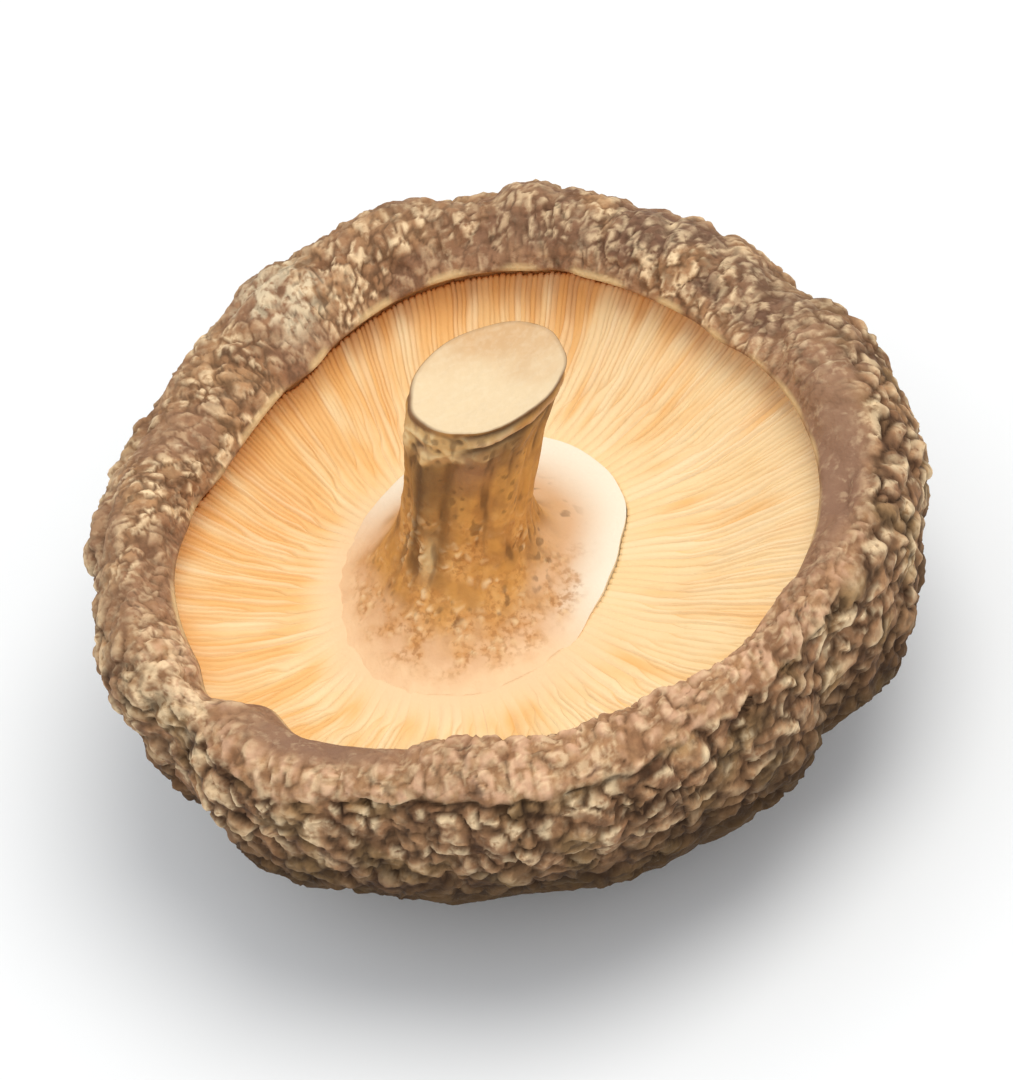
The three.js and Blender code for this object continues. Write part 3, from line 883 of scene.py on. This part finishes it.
# Dried gill edges: waxy cream to gold, with painted shade making them deeper and browner down in the gaps
# and out at the rim
def driedGills():
    return newMaterial("dried_gills", "#f6d7a2", [
        (((5.0, 0.4, 0.62),), 0.4, "#f6dfb4"),
        # gold: partly the gills' own streaks, partly painted shade on the left side
        (("gold",), 0.6, "#efae55"),
        (("level",), 0.25, "#fff1d0"),
        (("bloom",), 0.9, "#f2cfa4"),
        # painted shade down in the gaps between the gills
        (("gap",), 0.3, "#db9a48"),
        # painted shade on the gills beneath the lip
        (("under",), 0.42, "#dc913c"),
        # painted shade on some gill tips by the rim
        (("stain",), 0.2, "#a86a34"),
    ], (0.7, 0.52, 0.68), 0.3, [(0.3, 0.04)])


# Dried stem: grey-brown fibre, golden scurf at the foot, a pale smooth collar and a cream cut, with painted
# shade in its grooves and hollows and under the strip
def driedStem():
    return newMaterial("dried_stem", "#b98648", [
        (("fibre",), 0.6, "#dca457"),
        (((1.4, 0.45, 0.6),), 0.5, "#a06f3e"),
        # band: dark marking on the left, and painted shade under the peeled strip
        (("band",), 0.75, "#6d5235"),
        (("scurf", (1.2, 0.35, 0.6)), 0.8, "#ecb972"),
        (("collar",), 1.0, "#e2b88d"),
        (("border",), 1.0, "#f2cfa4"),
        (("pale",), 0.95, "#f5eedb"),
        (("scurf", (0.8, 0.35, 0.6)), 0.7, "#c98e4c"),
        (("scurf", (0.4, 0.5, 0.6)), 0.4, "#935f30"),
        (("wart",), 0.8, "#f0cf9e"),
        (("torn",), 0.85, "#d0aa72"),
        (("bruise",), 0.6, "#8d6753"),
        (("fold",), 0.75, "#edd09a"),
        (("bark",), 0.85, "#d2a67c"),
        (("bleached",), 0.65, "#d6c193"),
        # dark: specks and furrow streaks, and painted shade in the fibres' low sides, the grooves and the
        # torn hollows
        (("dark",), 0.92, "#4c321c"),
        (("cut",), 1.0, "#e3cba4"),
        (("blush",), 0.9, "#cfa677"),
        (("cut", (0.5, 0.45, 0.65)), 0.15, "#f0dfc0"),
        (("edge",), 0.85, "#6f4c2d"),
    ], (0.8, 0.56, 0.74), 0.3, [(0.35, 0.06)])


view = {
    "azimuth": 0,
    "elevation": 47,
    "roll": 16,
    "distance": 1200,
    "frameWidth": 66.7,  # mm across the picture at the mushroom
    "aim": (0.0, 0.0, 19.3),
    "frameMiddle": (-0.1, -1.44),  # mm across and up from the aim
    "skyStrength": 0.87,
    "sensorWidth": 36,
    "clip": (0.05, 20),  # metres
    "floorSize": 3000,
    "floorRoughness": 0.9,
    "floorColour": "#eef1f4",
    "lights": [  # name, bearing, elevation, distance, size, watts, colour
        ("key", -10, 76, 650, 420, 2.0, "#fffaf2"),
        ("fill", -60, 35, 800, 500, 0.25, "#f6f8ff"),
    ],
}


def makeStage():
    # a square of matt paper under an even white sky, and round lamps turned to the aim
    half = view["floorSize"] * millimetre / 2
    floorMesh = bpy.data.meshes.new("floor")
    corners = [(-half, -half, 0), (half, -half, 0), (half, half, 0), (-half, half, 0)]
    floorMesh.from_pydata(corners, [], [(0, 1, 2, 3)])
    floor = bpy.data.objects.new("floor", floorMesh)
    bpy.context.collection.objects.link(floor)
    paper = bpy.data.materials.new("white_paper")
    paper.use_nodes = True
    shader = paper.node_tree.nodes["Principled BSDF"]
    shader.inputs["Base Color"].default_value = linear(view["floorColour"])
    shader.inputs["Roughness"].default_value = view["floorRoughness"]
    floorMesh.materials.append(paper)
    world = bpy.data.worlds.new("studio")
    bpy.context.scene.world = world
    world.use_nodes = True
    world.node_tree.nodes["Background"].inputs["Color"].default_value = (1, 1, 1, 1)
    world.node_tree.nodes["Background"].inputs["Strength"].default_value = view["skyStrength"]
    aim = Vector(view["aim"]) * millimetre
    for name, bearing, elevation, distance, size, watts, colour in view["lights"]:
        lamp = bpy.data.lights.new(name, "AREA")
        lamp.shape = "DISK"
        lamp.size = size * millimetre
        lamp.energy = watts
        lamp.color = linear(colour)[:3]
        light = bpy.data.objects.new(name, lamp)
        a, e = math.radians(bearing), math.radians(elevation)
        way = Vector((math.cos(a) * math.cos(e), math.sin(a) * math.cos(e), math.sin(e)))
        light.location = aim + way * distance * millimetre
        light.rotation_mode = "QUATERNION"
        light.rotation_quaternion = (-way).to_track_quat("-Z", "Y")
        bpy.context.collection.objects.link(light)


def makeCamera():
    # a long lens: focal length = sensor width × distance / frame width
    data = bpy.data.cameras.new("camera")
    data.sensor_width = view["sensorWidth"]
    data.sensor_fit = "HORIZONTAL"
    data.lens = data.sensor_width * view["distance"] / view["frameWidth"]
    data.clip_start, data.clip_end = view["clip"]
    a, e, r = (math.radians(view[key]) for key in ("azimuth", "elevation", "roll"))
    back = Vector((math.sin(a) * math.cos(e), -math.cos(a) * math.cos(e), math.sin(e)))
    right = Vector((math.cos(a), math.sin(a), 0))
    up = back.cross(right)
    # turning the camera clockwise by the roll turns the mushroom anticlockwise in the picture
    turnedRight = right * math.cos(r) - up * math.sin(r)
    turnedUp = right * math.sin(r) + up * math.cos(r)
    across, above = view["frameMiddle"]
    where = Vector(view["aim"]) + turnedRight * across + turnedUp * above + back * view["distance"]
    where = where * millimetre
    camera = bpy.data.objects.new("camera", data)
    camera.matrix_world = Matrix((
        (turnedRight.x, turnedUp.x, back.x, where.x),
        (turnedRight.y, turnedUp.y, back.y, where.y),
        (turnedRight.z, turnedUp.z, back.z, where.z),
        (0, 0, 0, 1),
    ))
    bpy.context.collection.objects.link(camera)
    bpy.context.scene.camera = camera


makeCamera()
print("camera placed")
for make, finish in ((makeCapSkin, driedCapSkin), (makeGills, driedGills), (makeStem, driedStem)):
    piece = make()
    piece.data.materials.append(finish())
    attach(piece, "root")
    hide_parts("shiitake_mushroom")
makeStage()
bpy.context.scene.view_settings.view_transform = "Standard"
print("stage set")
